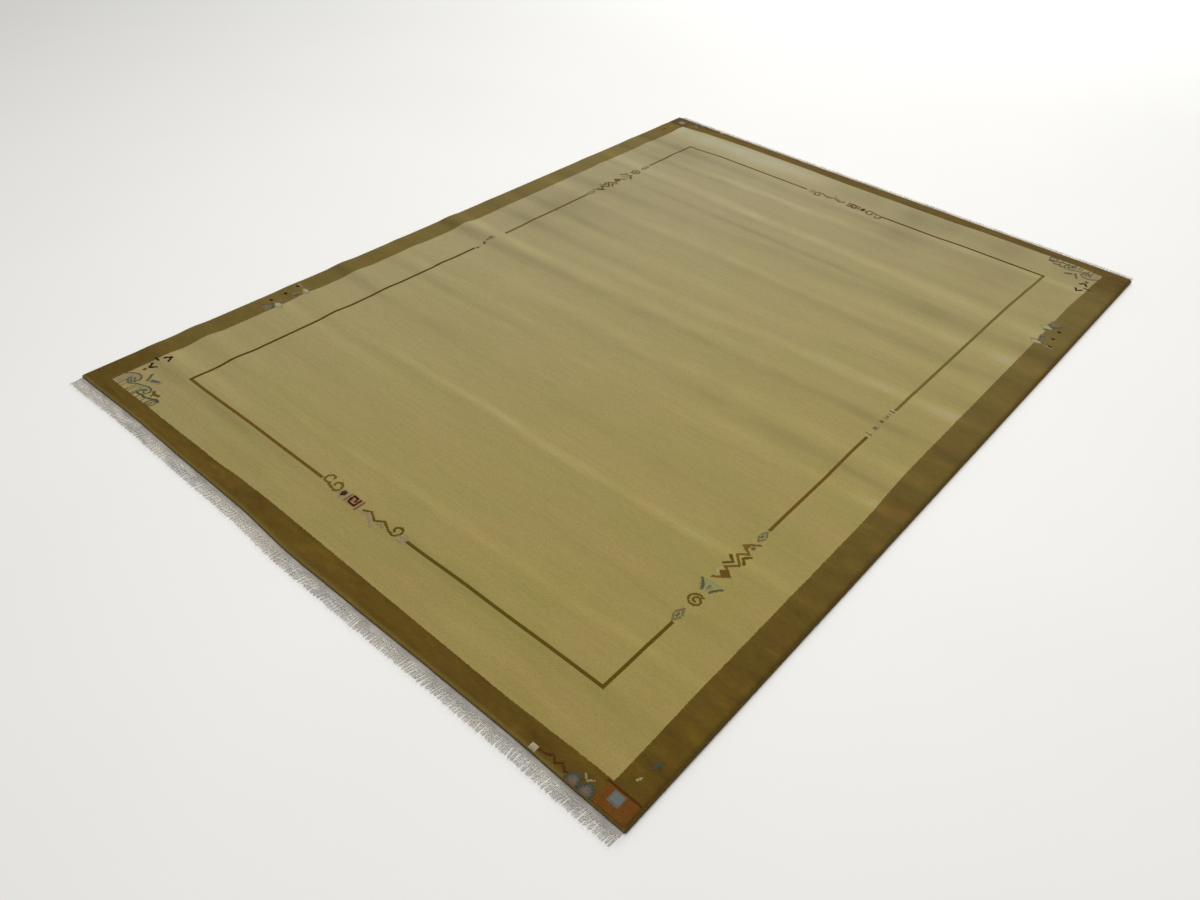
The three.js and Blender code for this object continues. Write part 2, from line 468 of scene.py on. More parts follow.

# %% [markdown]
# ## Nap and painted light
# Cut pile leans one way, and where the rug was rolled or folded the lean changes, so that pale and dark
# streaks run across it from side to side. They are broader than the ripples and much easier to see. The
# streaks are painted light and shade in the pile's colour: they stand for the sheen of the leaning pile,
# the lit and shaded slopes of the ripples, and the edge of the far window's light. A stripe texture would
# be too even, so each streak is a row of a table: where it starts at the left and ends at the right, how
# broad it is, and how much light it gives at even steps from left to right. Below nought the streak is
# painted shade. The cloth keeps the sum as an attribute for its material.

# %% Streaks of painted light and shade
STREAKS = table(
    "left right breadth light",
    (1050, 1058, 84, (0.24, 0.26, 0.2, -0.1, -0.15, -0.12, -0.12)),
    (935, 962, 30, (0.0, 0.03, 0.15)),
    (925, 905, 40, (-0.13, -0.08, 0.02)),
    (830, 846, 30, (-0.04, 0.12, 0.13, 0.06, 0.04)),
    (792, 840, 24, (-0.14, 0.0, -0.06)),
    (717, 648, 42, (0.13, 0.13, 0.13)),
    (724, 724, 30, (0.0, -0.02, -0.1)),
    (664, 650, 20, (-0.06, -0.07, 0.0)),
    (592, 582, 20, (-0.02, -0.13, 0.0)),
    (478, 566, 44, (-0.1, -0.06, -0.15)),
    (410, 488, 44, (0.06, 0.02, 0.18)),
    (400, 408, 26, (0.04, 0.09, -0.03)),
    (345, 378, 34, (0.0, -0.05, -0.12)),
    (310, 306, 40, (0.0, 0.0, 0.09)),
    (275, 224, 34, (-0.13, 0.0, -0.1)),
    (230, 238, 44, (0.07, 0.07, 0.0)),
    (152, 150, 30, (-0.1, -0.02, 0.0)),
    (84, 156, 36, (0.0, 0.1, 0.15)),
    (26, 66, 34, (0.1, 0.06, 0.0)),
    (-32, 22, 34, (-0.16, -0.06, -0.16)),
    (-138, -108, 44, (0.03, 0.07, 0.08)),
    (-186, -180, 34, (0.0, -0.04, -0.13)),
    (-242, -242, 28, (0.08, 0.03, 0.14)),
    (-303, -272, 24, (-0.1, -0.04, 0.0)),
    (-324, -262, 22, (0.0, 0.07, 0.02)),
    (-436, -460, 30, (-0.1, -0.03, -0.03)),
    (-600, -566, 22, (0.02, 0.14, 0.1)),
    (-644, -690, 34, (0.12, 0.0, -0.03)),
    (-752, -754, 34, (-0.04, -0.01, -0.06)),
    (-908, -858, 20, (0.01, 0.1, 0.07)),
    (-960, -930, 26, (0.07, 0.0, 0.0)),
    (-1018, -974, 30, (-0.1, -0.08, -0.05)),
    (-1036, -1058, 26, (0.02, 0.03, 0.07)),
    (-1055, -1055, 85, (-0.03, -0.05, -0.05)),
    (300, 300, 330, (0, -0.12, -0.02, 0, 0, 0, 0, 0, 0)),
    (880, 900, 170, (0, -0.06, 0, 0, -0.02, -0.1, -0.1, -0.1, 0)),
)
print(len(STREAKS), "streaks")

# %% Painted light and shade from the streaks
# How a streak changes on its way across: over what length, by how much, and where in the noise
WANDER = {"length": 170, "reach": 11, "row_apart": 3.7, "layer": 2.5}
SWELL = {"length": 170, "reach": 0.35, "row_apart": 7.3, "layer": 4.5}
BREAKS = {"length": 95, "reach": 0.75, "row_apart": 5.1, "layer": 0.5}
STREAK_POWER = 1.15


def change(kind, x, row):
    place = (x / kind["length"], row * kind["row_apart"], kind["layer"])
    return kind["reach"] * noise.noise(Vector(place))


def painted_light(x, y):
    """How much painted light, or painted shade, the streaks put on the pile at a place on the floor."""
    from_left = share_from_left(x)
    light = 0
    for row, streak in enumerate(STREAKS):
        middle = streak["left"] + (streak["right"] - streak["left"]) * from_left
        middle += change(WANDER, x, row)
        breadth = streak["breadth"] * (1 + change(SWELL, x, row))
        offset = abs(y - middle) / breadth
        if offset < 1:
            last = len(streak["light"]) - 1
            steps = {step / last: amount for step, amount in enumerate(streak["light"])}
            strength = smooth_between(steps, from_left) * (1 + change(BREAKS, x, row))
            light += STREAK_POWER * strength * raised_cosine(offset)
    return light


print("nap at the middle:", round(painted_light(0, 0), 3))

# %% [markdown]
# ## The pile cloth
# A knotted pile rug is one thick cloth: warp and weft with rows of wool knots, clipped level. Hair or
# thousands of tiny tufts would show single yarns, but at this size they would only cost memory, since
# a knot is barely wider than a pixel. So the cloth is one closed mesh, fine enough for ripples,
# clipping and the round shoulders of the clipped edge, and the knots' grain is left to its material.

# %% Stations of the grid
GRID_STEP = 9.7


def stations(half, edge_insets):
    """Places from -half to half: some close to either edge, and even steps between."""
    inner = half - edge_insets[-1]
    count = round(2 * inner / GRID_STEP)
    middle = [-inner + 2 * inner * i / count for i in range(1, count)]
    low = [inset - half for inset in edge_insets]
    return low + middle + [-place for place in reversed(low)]


across_stations = stations(HALF_WIDTH, sorted(SIDE_SHOULDER))
along_stations = stations(HALF_LENGTH, sorted(END_SHOULDER))
print("grid of", len(across_stations), "by", len(along_stations))


# %% Make the cloth mesh
END_RAGGED = {"reach": 0.7, "length": 6, "inset": 2, "layer": 40}
END_FACE_DEPTH = 4
END_FACE_LIGHT = 0.65
UNDERSIDE = 0.2


def smooth_mesh(name, points, faces):
    mesh = bpy.data.meshes.new(name)
    mesh.from_pydata(points, [], faces)
    mesh.polygons.foreach_set("use_smooth", [True] * len(mesh.polygons))
    return mesh


def cloth_mesh():
    columns, rows = len(across_stations), len(along_stations)
    points, loom, painted_lights = [], [], []
    for top in (1, 0):
        for along in along_stations:
            for across in across_stations:
                x, y = laid(across, along)
                inset = HALF_LENGTH - abs(along)
                if inset < END_RAGGED["inset"]:
                    layer = math.copysign(END_RAGGED["layer"], y)
                    y += END_RAGGED["reach"] * noise.noise(Vector((x / END_RAGGED["length"], layer, 0)))
                z = pile_top(across, along) if top else lift(x, y) + UNDERSIDE
                points.append((x * MM, y * MM, z * MM))
                loom.append((across * MM, along * MM, top))
                # Painted light for the material: the streaks' painted light and shade on top, and painted
                # light on the end face and the last millimetres of each end, which lie in shadow
                light = painted_light(x, y) if top else 0
                if inset < END_FACE_DEPTH:
                    light += END_FACE_LIGHT * (1 - inset / END_FACE_DEPTH)
                painted_lights.append(light)
    faces = []
    under = columns * rows
    for r in range(rows - 1):
        for c in range(columns - 1):
            a = r * columns + c
            faces.append((a, a + 1, a + columns + 1, a + columns))
            faces.append((under + a, under + a + columns, under + a + columns + 1, under + a + 1))
    for r in range(rows - 1):
        left, right = r * columns, r * columns + columns - 1
        faces.append((left, left + columns, under + left + columns, under + left))
        faces.append((right + columns, right, under + right, under + right + columns))
    last = (rows - 1) * columns
    for c in range(columns - 1):
        faces.append((c + 1, c, under + c, under + c + 1))
        faces.append((last + c, last + c + 1, under + last + c + 1, under + last + c))
    mesh = smooth_mesh("rug_pile", points, faces)
    attribute = mesh.attributes.new("loom", "FLOAT_VECTOR", "POINT")
    attribute.data.foreach_set("vector", [part for place in loom for part in place])
    mesh.attributes.new("painted_light", "FLOAT", "POINT").data.foreach_set("value", painted_lights)
    return mesh


def new_piece(name, mesh):
    """An object for a mesh, riding on the rug's one body."""
    piece = bpy.data.objects.new(name, mesh)
    bpy.context.scene.collection.objects.link(piece)
    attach(piece, "root")
    return piece


def triangles(*pieces):
    """How many triangles the faces of some pieces make."""
    return sum(len(face.vertices) - 2 for piece in pieces for face in piece.data.polygons)


rug_pile = new_piece("rug_pile", cloth_mesh())
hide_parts("rug_body")
print("rug_pile:", triangles(rug_pile), "triangles")

# %% [markdown]
# ## Wool for the pile
# The field is straw-coloured wool and the border olive-brown. Hand-dyed wool comes in small lots, so
# its colour changes from row to row in soft bands that follow the weft. The border shows it most. The
# limits of the border are straight lines in loom measure, made a knot ragged by a fine noise. Grain
# comes from two sources: each knot has its own shade, by white noise on a snapped place, and a cell
# pattern at the knots' pitch gives the bump. Sheen does the rest, as on any cut pile. Along the two ends
# the brown goes paler. Painted light is laid into the colour as well: the field and the side borders are
# painted paler and cooler toward the far end and the left side, as grazing light makes them look; the
# streaks of painted light and shade scale the colour; and where a streak is brightest, a painted sheen
# turns the straw toward pale grey.

# %% Colours of the pile
STRAW = srgb(150, 134, 76)
STRAW_PINK = srgb(154, 134, 79)
STRAW_GREEN = srgb(146, 133, 72)
# The next straw is painted light: the paler, cooler look that grazing light gives the far end and the left
# side
STRAW_PAINTED_LIGHT = srgb(151, 141, 107)
# The next straw is a painted sheen: a grazing reflection of the far lamp on the brightest streaks
STRAW_PAINTED_SHEEN = srgb(135, 139, 132)
OLIVE_BROWN = srgb(89, 69, 19)
BROWN_DARK = srgb(80, 58, 12)
BROWN_GOLD = srgb(103, 80, 22)
# The next brown is paler: the painted light on the side borders goes toward it, and so do the ends
BROWN_PALE = srgb(115, 102, 55)
RUSTY = srgb(98, 64, 20)
print("straw and brown in linear light:", [round(part, 3) for part in (*STRAW[:3], *OLIVE_BROWN[:3])])

# %% Field or border, with a ragged limit
FIELD_EDGE_RAGGED = 4 * MM
FIELD_EDGE_SOFT = 0.6 * MM

wool = Finish(
    "pile_wool",
    Roughness=0.92,
    Sheen_Weight=0.06,
    Sheen_Roughness=0.45,
    Sheen_Tint=srgb(250, 230, 150),
    Specular_IOR_Level=0.12,
)

loom = wool.attribute("loom")
ragged = wool.noise(loom, 260, 1.0).other("Color")
ragged = wool.vector_maths("SUBTRACT", ragged, (0.5, 0.5, 0.5))
ragged = wool.vector_maths("MULTIPLY_ADD", ragged, (FIELD_EDGE_RAGGED, FIELD_EDGE_RAGGED, 0.0), loom)
ragged_across, ragged_along = wool.x_and_y(ragged)
from_side = BORDER_ACROSS * MM - abs(ragged_across)
from_end = BORDER_ALONG * MM - abs(ragged_along)
in_field = wool.ramp(wool.maths("MINIMUM", from_side, from_end), -FIELD_EDGE_SOFT, FIELD_EDGE_SOFT)
print("field ends", BORDER_ACROSS, "mm from the middle")

# %% Straw for the field
# By how much more painted light pales the straw for each metre toward the far end and toward the right side
FIELD_PAINTED_LIGHT = {"along": 0.26, "across": -0.3}
PAINTED_SHEEN_SHARE = 0.42

weft_bands = wool.noise(wool.stretched(loom, (0.7, 9.0, 1.0)), 3.0, 3.0, 0.55)
fine_bands = wool.noise(wool.stretched(loom, (1.0, 14.0, 1.0)), 9.0, 2.0, 0.6)
clouds = wool.noise(wool.stretched(loom, (1.0, 2.2, 1.0)), 4.0, 2.0, 0.5)
straw = wool.mix(wool.ramp(clouds, 0.35, 0.65), STRAW_GREEN, STRAW_PINK)
straw = wool.mix(wool.ramp(weft_bands, 0.3, 0.7), straw, STRAW)
loom_across, loom_along = wool.x_and_y(loom)
# Painted light: the straw goes paler and cooler toward the far end and the left side
field_painted_light = FIELD_PAINTED_LIGHT["along"] * loom_along + FIELD_PAINTED_LIGHT["across"] * loom_across
straw = wool.mix(wool.ramp(field_painted_light, -0.5, 0.5), straw, STRAW_PAINTED_LIGHT)
# The cloth's painted light and shade, from the streaks and the ends
painted_light_in_pile = wool.attribute("painted_light", "Fac")
# Painted sheen: where the streaks' painted light is strongest, the straw turns toward pale grey, as a
# grazing reflection makes it look
straw = wool.mix(PAINTED_SHEEN_SHARE * wool.ramp(painted_light_in_pile, 0.1, 0.34), straw, STRAW_PAINTED_SHEEN)
print("straw takes the tree to", len(wool.tree.nodes), "nodes")

# %% Olive brown for the border
# How much painted light pales the side borders: in the middle, and how that changes for each metre toward
# the far end and toward the right side
BORDER_PAINTED_LIGHT = {"middle": 0.45, "along": 0.28, "across": -0.2}
PALER_ENDS_FROM = (HALF_LENGTH - 9) * MM
PALER_ENDS_TO = (HALF_LENGTH - 1) * MM
PALER_ENDS_SHARE = 0.5
RUSTY_SHARE = 0.55

border_lots = wool.noise(wool.stretched(loom, (1.0, 2.6, 1.0)), 9.0, 3.0, 0.6)
border_spots = wool.noise(wool.stretched(loom, (1.0, 1.6, 1.0)), 30.0, 2.0, 0.6)
brown = wool.mix(wool.ramp(border_lots, 0.32, 0.68), BROWN_DARK, BROWN_GOLD)
brown = wool.mix(wool.ramp(border_spots, 0.3, 0.7), brown, OLIVE_BROWN)
rust_lots = wool.noise(wool.stretched(loom, (1.0, 1.4, 1.0)), 5.0, 2.0, 0.5)
brown = wool.mix(RUSTY_SHARE * wool.ramp(rust_lots, 0.56, 0.72), brown, RUSTY)
# Painted light: the side borders go paler and cooler toward the far end and the left side, but not the end
# borders
border_painted_light = BORDER_PAINTED_LIGHT["middle"] + BORDER_PAINTED_LIGHT["along"] * loom_along
border_painted_light = border_painted_light + BORDER_PAINTED_LIGHT["across"] * loom_across
brown = wool.mix(border_painted_light * wool.ramp(from_end, 0.0, 0.25), brown, BROWN_PALE)
# The brown goes paler over the last few millimetres toward each end
paler_ends = PALER_ENDS_SHARE * wool.ramp(abs(loom_along), PALER_ENDS_FROM, PALER_ENDS_TO)
brown = wool.mix(paler_ends, brown, BROWN_PALE)
cloth_colour = wool.mix(in_field, brown, straw)
print("brown takes the tree to", len(wool.tree.nodes), "nodes")

# %% Shade and grain of the knots
KNOT_CELL = (KNOT * MM, KNOT * MM, 1.0)

knot_cell = wool.vector_maths("SNAP", ragged, KNOT_CELL)
knot_shade = wool.add("ShaderNodeTexWhiteNoise", None, {"Vector": knot_cell}, "Value")
grain = wool.noise(loom, 900, 2.0, 0.6)
shade = 0.8 + 0.12 * knot_shade + 0.1 * grain + 0.2 * fine_bands
# The painted light and shade of the streaks and the ends scale the colour here
wool.drive("Base Color", wool.shade(cloth_colour, shade * (1 + painted_light_in_pile)))

cells = wool.add(
    "ShaderNodeTexVoronoi",
    {"feature": "SMOOTH_F1"},
    {"Vector": loom, "Scale": 1 / (KNOT * MM), "Smoothness": 0.5, "Randomness": 0.8},
    "Distance",
)
knot_bump = wool.bump(1 - cells, 0.8 * MM, 0.7)
fibre = wool.noise(loom, 1800, 3.0, 0.7)
wool.drive("Normal", wool.bump(fibre, 0.3 * MM, 0.5, knot_bump))
rug_pile.data.materials.append(wool.material)
print("pile_wool has", len(wool.tree.nodes), "nodes")

# %% [markdown]
# ## Recipes in Geometry Nodes
# The rest of the rug is small things in great numbers: knots, turns of overcasting and strands of
# fringe. A loop in Python could place them, but Geometry Nodes does it faster and keeps the rule in one
# tree with named inputs. The helper below makes such a tree, and another runs it over a start mesh and
# keeps the result as a plain mesh.


# %% Make and run a recipe
class Recipe(Net):
    """A Geometry Nodes tree with named inputs: numbers with their usual values, and the material."""

    def __init__(self, name, inputs):
        tree = bpy.data.node_groups.new(name, "GeometryNodeTree")
        super().__init__(tree)
        tree.interface.new_socket("Geometry", in_out="INPUT", socket_type="NodeSocketGeometry")
        self.identifiers = {}
        for label, value in {**inputs, "Material": None}.items():
            kind = {int: "Int", float: "Float"}.get(type(value), "Material")
            socket = tree.interface.new_socket(label, in_out="INPUT", socket_type="NodeSocket" + kind)
            self.identifiers[label] = socket.identifier
            if value is not None:
                socket.default_value = value
        tree.interface.new_socket("Geometry", in_out="OUTPUT", socket_type="NodeSocketGeometry")
        self.start = self.add("NodeGroupInput", out="Geometry")

    def value(self, label):
        return self.start.other(label)

    def keep(self, geometry, name, value, kind="FLOAT", domain="POINT"):
        settings = {"data_type": kind, "domain": domain}
        sockets = {"Geometry": geometry, "Name": name, "Value": value}
        return self.add("GeometryNodeStoreNamedAttribute", settings, sockets)

    def keep_each(self, geometry, name, value, kind="FLOAT"):
        """Keeps one value for each copy that stands on a point."""
        return self.keep(geometry, name, value, kind, "INSTANCE")

    def kept(self, name, kind="FLOAT"):
        return self.add("GeometryNodeInputNamedAttribute", {"data_type": kind}, {"Name": name})

    def chance(self, low, high, seed):
        sockets = {2: low, 3: high, "Seed": seed}
        return self.add("FunctionNodeRandomValue", {"data_type": "FLOAT"}, sockets, 1)

    def vector(self, x, y, z):
        return self.add("ShaderNodeCombineXYZ", None, {"X": x, "Y": y, "Z": z})

    def circle(self, corners, radius):
        sockets = {"Resolution": corners, "Radius": radius}
        return self.add("GeometryNodeCurvePrimitiveCircle", None, sockets)

    def set_out(self, points, shape, **turn_and_size):
        """A copy of the shape on every point."""
        sockets = {"Points": points, "Instance": shape, **turn_and_size}
        return self.add("GeometryNodeInstanceOnPoints", None, sockets)

    def finish(self, geometry):
        """Real mesh, smooth shading and the material, as the last steps of the tree."""
        material = self.value("Material")
        whole = self.add("GeometryNodeRealizeInstances", None, {"Geometry": geometry})
        smooth = self.add("GeometryNodeSetShadeSmooth", None, {"Geometry": whole})
        worn = self.add("GeometryNodeSetMaterial", None, {"Geometry": smooth, "Material": material})
        self.add("NodeGroupOutput", None, {"Geometry": worn})


def run_recipe(recipe, name, start_mesh, values):
    """Runs a recipe over a mesh and gives the result as a plain mesh."""
    holder = bpy.data.objects.new(name + "_start", start_mesh)
    bpy.context.scene.collection.objects.link(holder)
    modifier = holder.modifiers.new("recipe", "NODES")
    modifier.node_group = recipe.tree
    for label, value in values.items():
        modifier[recipe.identifiers[label]] = value
    graph = bpy.context.evaluated_depsgraph_get()
    mesh = bpy.data.meshes.new_from_object(holder.evaluated_get(graph), depsgraph=graph)
    mesh.name = name
    holder.modifiers.remove(modifier)
    bpy.data.objects.remove(holder)
    bpy.data.meshes.remove(start_mesh)
    return mesh


def points_mesh(name, points, edges=(), **numbers):
    """A mesh of bare points, with a number of each kept under each given name."""
    mesh = bpy.data.meshes.new(name)
    mesh.from_pydata(points, list(edges), [])
    for label, values in numbers.items():
        mesh.attributes.new(label, "FLOAT", "POINT").data.foreach_set("value", values)
    return mesh


print("helpers ready")

# %% [markdown]
# ## Charting the pattern
# A weaver works from a chart: squared paper in which each square is one knot. The thin frame line and
# the small ornaments could be painted in the cloth's material, but they are only a knot or two wide,
# and a texture would blur them. So they are charted here knot by knot and made as real tufts. A `Pen`
# draws at one place of the chart, in millimetres along a line of the pattern and square to it. The
# second half of the rug repeats the first, turned half round, so each ornament is drawn once.


# %% Chart and pen
class Pen:
    """Draws knots on a chart, in the measure of one place on the rug, with some yarns changed."""

    def __init__(self, chart, place, instead=None):
        self.chart = chart
        self.place = place
        self.instead = instead or {}

    def knot(self, yarn, column, row):
        self.chart[column, row] = self.instead.get(yarn, yarn)

    def squares(self, places, reach):
        """Columns and rows that lie within reach of the box round some places, with their middles."""
        lows = [min(place[axis] for place in places) - reach for axis in (0, 1)]
        highs = [max(place[axis] for place in places) + reach for axis in (0, 1)]
        for column in range(math.floor(lows[0] / KNOT), math.ceil(highs[0] / KNOT) + 1):
            for row in range(math.floor(lows[1] / KNOT), math.ceil(highs[1] / KNOT) + 1):
                yield column, row, Vector(((column + 0.5) * KNOT, (row + 0.5) * KNOT))

    def stroke(self, yarn, width, points):
        """A line of some width through the points."""
        places = [Vector(self.place(*point)) for point in points]
        for start, end in zip(places, places[1:]):
            run = end - start
            for column, row, middle in self.squares((start, end), width):
                share = min(max((middle - start).dot(run) / run.length_squared, 0), 1)
                if (middle - start - run * share).length <= width / 2:
                    self.knot(yarn, column, row)

    def patch(self, yarn, outline):
        """All knots inside an outline."""
        corners = [Vector(self.place(*point)) for point in outline]
        for column, row, middle in self.squares(corners, 0):
            inside = False
            for start, end in zip(corners, corners[1:] + corners[:1]):
                if (start.y > middle.y) != (end.y > middle.y):
                    cross = start.x + (middle.y - start.y) * (end.x - start.x) / (end.y - start.y)
                    inside ^= middle.x < cross
            if inside:
                self.knot(yarn, column, row)

    def block(self, yarn, start, end):
        """A rectangle between two opposite corners."""
        self.patch(yarn, [start, (start[0], end[1]), end, (end[0], start[1])])

    def dot(self, yarn, centre, radius):
        middle_of_dot = Vector(self.place(*centre))
        for column, row, middle in self.squares((middle_of_dot,), radius):
            if (middle - middle_of_dot).length <= radius:
                self.knot(yarn, column, row)


# %% Shapes that a pen can follow
DEGREES_A_STEP = 15


def arc(centre, radius, sweep):
    """Points round a centre, from its right, through an angle in degrees."""
    steps = round(sweep / DEGREES_A_STEP)
    turns = [math.radians(sweep * (step / steps)) for step in range(steps + 1)]
    return [(centre[0] + radius * math.cos(turn), centre[1] + radius * math.sin(turn)) for turn in turns]


def lozenge(centre, half_length, half_height):
    s, t = centre
    return [(s - half_length, t), (s, t + half_height), (s + half_length, t), (s, t - half_height)]


def oval(centre, half_length, half_height):
    ring = arc((0, 0), 1, 360 - DEGREES_A_STEP)
    return [(centre[0] + s * half_length, centre[1] + t * half_height) for s, t in ring]


BEND_STEPS = 5


def bend(points):
    """A smooth line through the points."""
    line = []
    padded = [points[0], *points, points[-1]]
    for before, start, end, after in zip(padded, padded[1:], padded[2:], padded[3:]):
        for step in range(BEND_STEPS):
            f = step / BEND_STEPS
            weights = (
                -0.5 * f + f * f - 0.5 * f**3,
                1 - 2.5 * f * f + 1.5 * f**3,
                0.5 * f + 2 * f * f - 1.5 * f**3,
                -0.5 * f * f + 0.5 * f**3,
            )
            corners = (before, start, end, after)
            line.append(tuple(sum(w * c[axis] for w, c in zip(weights, corners)) for axis in (0, 1)))
    return [*line, points[-1]]


print("an oval has", len(oval((0, 0), 10, 10)), "points")

# %% [markdown]
# ## The ornaments
# These are ordinary figures of hill and steppe weaving: scrolls, zigzags, lozenges, small chevrons,
# dots, and wave curls in two corners. A figure is a handful of strokes, each with its yarn and width.
# They are drawn freely by rule, at the places and sizes that the rug shows, and the chart's squares
# give them the stepped edge that knots have.


# %% Ornaments on the near frame line
def scrolls_and_zigzag(pen):
    scroll = [
        (-112, 15.2), (-116, 19.7), (-122, 20.2), (-128, 14.7), (-129.5, 7.2), (-126.5, -0.3),
        (-115, -1.4), (-102, -4.3), (-93, -6.8), (-83, -7.3), (-78, -1.3), (-78, 6.2), (-81, 12.7),
        (-88, 16.2), (-95, 14.2), (-98.5, 7.2), (-96, 2.7),
    ]
    pen.stroke("olive_light", 5.4, bend(scroll))
    pen.stroke("olive_light", 4, [(-111, -1.5), (-109, 3)])
    pen.patch("haze", oval((-62, -0.5), 12.5, 13.5))
    pen.patch("purple", oval((-62, 0.2), 6.8, 8.8))
    pen.stroke("mauve", 3.6, [(-46, -11), (-46, 10)])
    pen.block("blush", (-43, -14), (-10.5, 15))
    pen.block("pink", (-40, -11), (-13, 13))
    square_hook = [
        (-16.5, 10.2), (-17, -9), (-28, -9.3), (-37, -7.3), (-37.5, 10.4), (-26, 11.2), (-24.5, 0.2),
    ]
    pen.stroke("maroon", 5, square_hook)
    pen.stroke("mauve", 4.4, [(-8, -14), (-8, 12)])
    pen.stroke("haze", 5.5, [(12, -7), (22, -2), (30, -6), (40, -13), (55, -24)])
    pen.stroke("sage", 4, [(58, -7), (67, -4), (76, -10)])
    pen.stroke("olive", 5, [(8, -3.3), (24, 5.7), (48, -6.8), (66, 5.7), (90, -5.8)])
    hook = [
        (90, -5.8), (100, -7.8), (107, -8.3), (112.5, -2.8), (115, 5.2), (113, 12.2), (107, 16.2),
        (100, 15.2), (96, 9.2), (98.5, 2.2), (101.5, -0.3),
    ]
    pen.stroke("olive", 5, bend(hook))
    pen.patch("haze", oval((129, -1), 9.5, 13))
    pen.patch("sage", [(119.5, -1), (123.5, 9), (123.5, -11)])


# %% Ornaments on the right frame line
def open_lozenge(pen, centre, half_length, half_height, gap):
    s, t = centre
    for side in (-1, 1):
        arm = (s + side * gap, half_height * (1 - gap / half_length))
        corner = (s + side * half_length, t)
        pen.stroke("grey_green", 4.2, [(arm[0], t + arm[1]), corner, (arm[0], t - arm[1])])
    pen.stroke("grey_blue", 4, [(s - 4, t + 0.8), (s + 3, t + 0.8)])


def lozenges_spiral_and_zigzag(pen):
    open_lozenge(pen, (-762, 3.4), 18, 9, 3)
    spiral = [
        (-698, -9), (-697, 4), (-702, 12), (-710, 16), (-719, 13), (-724, 6), (-724, -4), (-719, -9.5),
        (-711, -10), (-705, -6), (-704, 1), (-708, 6.5), (-714, 6), (-716.5, 0),
    ]
    pen.stroke("olive_light", 4.8, bend(spiral))
    body = [(-683, 2), (-673, 8), (-661, 14), (-651, 17), (-650, -14), (-660, -10), (-672, -5)]
    pen.patch("pale_green", body)
    pen.stroke("pale_green", 4, [(-683, 13), (-673, 18), (-665, 25)])
    pen.stroke("grey_green", 4, [(-674, 2), (-664, 2)])
    pen.stroke("slate", 6, [(-680, 10), (-672, 13), (-664, 19), (-658, 25)])
    pen.stroke("slate", 5.4, [(-679, -8), (-671, -12), (-664, -17), (-658, -22)])
    pen.stroke("cream", 4, [(-628, 11.5), (-619.5, 15.5), (-612, 12)])
    peaks = [(-642, 14), (-620, -13), (-603, 9.5), (-584, -11), (-562, 11), (-545, -7), (-530, 16)]
    pen.stroke("rust_light", 5.4, [*peaks, (-508, -9.5)])
    pen.patch("rust_light", [(-539, 3), (-530, 16), (-519, 3)])
    pen.patch("rust", lozenge((-619.5, -1), 12.5, 13))
    pen.stroke("olive", 5.8, [(-598, 18), (-584, 5), (-572, 19)])
    pen.stroke("olive", 5.8, [(-576, -16), (-562, -5), (-549, -16)])
    pen.dot("mauve", (-525, -4), 5)
    open_lozenge(pen, (-484, 0.4), 18, 8.4, 3)


def row_of_dots(pen):
    pen.stroke("grey_green", 3.6, [(-38.5, -5), (-37, 8)])
    pen.stroke("cream", 3.4, [(-32.5, -3), (-32.5, 5)])
    pen.stroke("pale_green", 3, [(-34, 7), (-34, 10)])
    pen.patch("haze", oval((-9, 1), 9, 8))
    pen.dot("mauve", (-9, 1.5), 4.8)
    pen.stroke("haze", 5, [(3, 0), (11, 5)])
    pen.patch("olive_worn", oval((23.5, 3), 5.4, 4.6))
    pen.patch("sage", oval((42, 2), 6.5, 6))
    pen.patch("grey_green", oval((52, 3), 4.4, 4.6))
    pen.stroke("haze", 4, [(60, 2), (68, 4)])
    pen.stroke("mauve", 3.6, [(76.5, -2), (77.5, 9)])
    pen.stroke("cream", 3.4, [(81, -7), (82, 10)])


# %% Wave curls, leaves and chevrons in the corner of the field
HATCH_WIDTH = 3
HATCH = table(
    "across reach yarn",
    (25, 22, "mauve"),
    (37, 16, "grey_lilac"),
    (58, 24, "mauve"),
    (66, 27, "grey_lilac"),
    (78, 30, "mauve"),
    (84, 26, "slate"),
    (101, 11, "grey_lilac"),
    (121, 13, "slate"),
    (137, 14, "mauve"),
)


